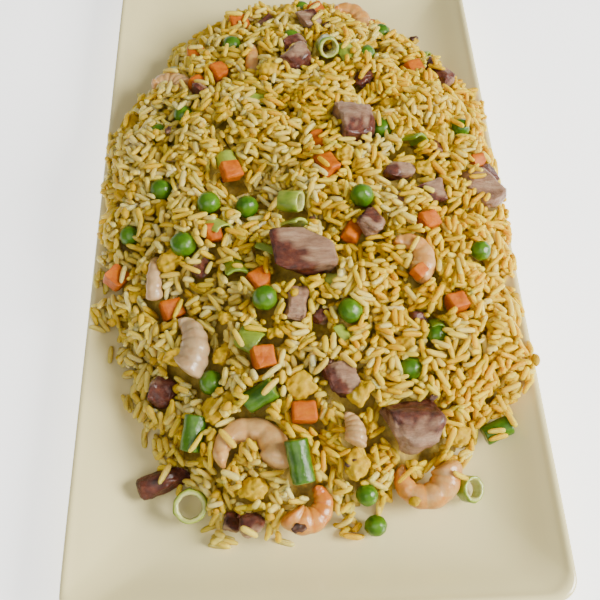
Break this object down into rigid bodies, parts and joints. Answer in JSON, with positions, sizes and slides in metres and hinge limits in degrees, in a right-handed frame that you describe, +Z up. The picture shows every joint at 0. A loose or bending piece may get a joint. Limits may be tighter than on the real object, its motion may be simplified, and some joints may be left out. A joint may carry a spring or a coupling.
{
  "type": "plate of fried rice",
  "caption": "Long rectangular porcelain plate with a low rim, heaped with egg fried rice, shrimp, roast pork, peas, diced carrot, green beans and scallion.",
  "frame": {"origin": "middle of the plate's foot, on the surface it stands on", "axes": "+Y along the plate's length, away from the end nearest the diner; +Z up; +X to the right"},
  "size_m": [0.165, 0.305, 0.053],
  "materials": {
    "porcelain": "gloss",
    "rice": "slightly oily grains",
    "shrimp": "moist, orange to pink-white",
    "pork": "moist, mauve inside and red-brown outside",
    "pea": "smooth, moist",
    "bean": "smooth, moist",
    "carrot": "moist cut faces",
    "egg": "soft curds",
    "scallion": "pale green, moist"
  },
  "bodies": {
    "root": {"plate": "porcelain", "rice_heap": "rice", "shrimp_01": "shrimp", "shrimp_02": "shrimp", "shrimp_03": "shrimp", "shrimp_04": "shrimp", "shrimp_05": "shrimp", "shrimp_06": "shrimp", "shrimp_07": "shrimp", "shrimp_08": "shrimp", "shrimp_09": "shrimp", "shrimp_10": "shrimp", "pork_01": "pork", "pork_02": "pork", "pork_03": "pork", "pork_04": "pork", "pork_05": "pork", "pork_06": "pork", "pork_07": "pork", "pork_08": "pork", "pork_09": "pork", "pork_10": "pork", "pork_11": "pork", "pork_12": "pork", "pork_13": "pork", "pork_14": "pork", "pork_15": "pork", "pea_01": "pea", "pea_02": "pea", "pea_03": "pea", "pea_04": "pea", "pea_05": "pea", "pea_06": "pea", "pea_07": "pea", "pea_08": "pea", "pea_09": "pea", "pea_10": "pea", "pea_11": "pea", "bean_01": "bean", "bean_02": "bean", "bean_03": "bean", "bean_04": "bean", "carrot_01": "carrot", "carrot_02": "carrot", "carrot_03": "carrot", "carrot_04": "carrot", "carrot_05": "carrot", "carrot_06": "carrot", "carrot_07": "carrot", "carrot_08": "carrot", "carrot_09": "carrot", "egg_01": "egg", "egg_02": "egg", "egg_03": "egg", "egg_04": "egg", "egg_05": "egg", "scallion_01": "scallion", "scallion_02": "scallion", "scallion_03": "scallion", "scallion_04": "scallion"}
  },
  "joints": []
}
